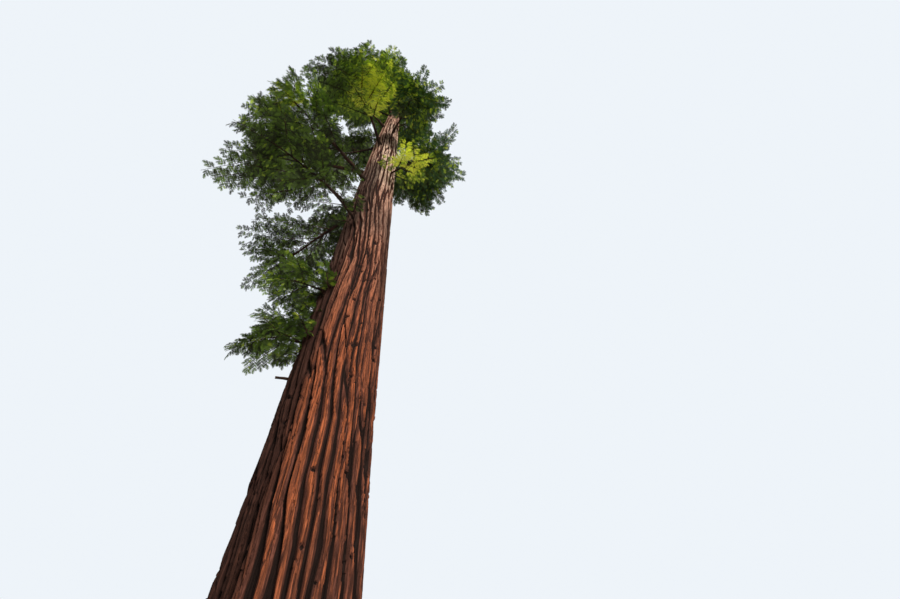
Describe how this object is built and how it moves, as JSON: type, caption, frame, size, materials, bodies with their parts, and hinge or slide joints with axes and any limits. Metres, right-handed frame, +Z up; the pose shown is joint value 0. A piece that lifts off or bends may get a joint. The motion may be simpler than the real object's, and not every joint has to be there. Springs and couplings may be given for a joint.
{
  "type": "redwood tree",
  "caption": "Whole tall conifer rooted in the ground: fluted, tapering, furrowed trunk with root flare, a spiral of sagging boughs, drooping needle foliage and low leafy shoots.",
  "frame": {"origin": "middle of the flat cut under the trunk, at ground level", "axes": "+Z up along the trunk; -Y is the side that the picture was taken from; -X is the side with the low leafy shoots"},
  "size_m": [9.1698, 10.0313, 39.9826],
  "materials": {
    "trunk_bark": "deeply furrowed, fibrous, matt",
    "limb_bark": "rough, matt",
    "needles": "soft satin green"
  },
  "bodies": {
    "root": {"trunk": "trunk_bark", "dead_stub": "limb_bark", "bough_01": "limb_bark", "bough_02": "limb_bark", "bough_03": "limb_bark", "bough_04": "limb_bark", "bough_05": "limb_bark", "bough_06": "limb_bark", "bough_07": "limb_bark", "bough_08": "limb_bark", "bough_09": "limb_bark", "bough_10": "limb_bark", "bough_11": "limb_bark", "bough_12": "limb_bark", "bough_13": "limb_bark", "bough_14": "limb_bark", "bough_15": "limb_bark", "bough_16": "limb_bark", "bough_17": "limb_bark", "bough_18": "limb_bark", "bough_19": "limb_bark", "bough_20": "limb_bark", "foliage_01": "needles", "foliage_02": "needles", "foliage_03": "needles", "foliage_04": "needles", "foliage_05": "needles", "foliage_06": "needles", "foliage_07": "needles", "foliage_08": "needles", "foliage_09": "needles", "foliage_10": "needles", "foliage_11": "needles", "foliage_12": "needles", "foliage_13": "needles", "foliage_14": "needles", "foliage_15": "needles", "foliage_16": "needles", "foliage_17": "needles", "foliage_18": "needles", "foliage_19": "needles", "foliage_20": "needles", "foliage_21": "needles", "foliage_22": "needles", "foliage_23": "needles", "foliage_24": "needles", "foliage_25": "needles", "foliage_26": "needles", "foliage_27": "needles", "foliage_28": "needles", "foliage_29": "needles", "foliage_30": "needles", "foliage_31": "needles", "foliage_32": "needles", "shoot_01": "needles", "shoot_02": "needles", "shoot_03": "needles", "shoot_04": "needles", "shoot_05": "needles", "leader_foliage": "needles"}
  },
  "joints": []
}
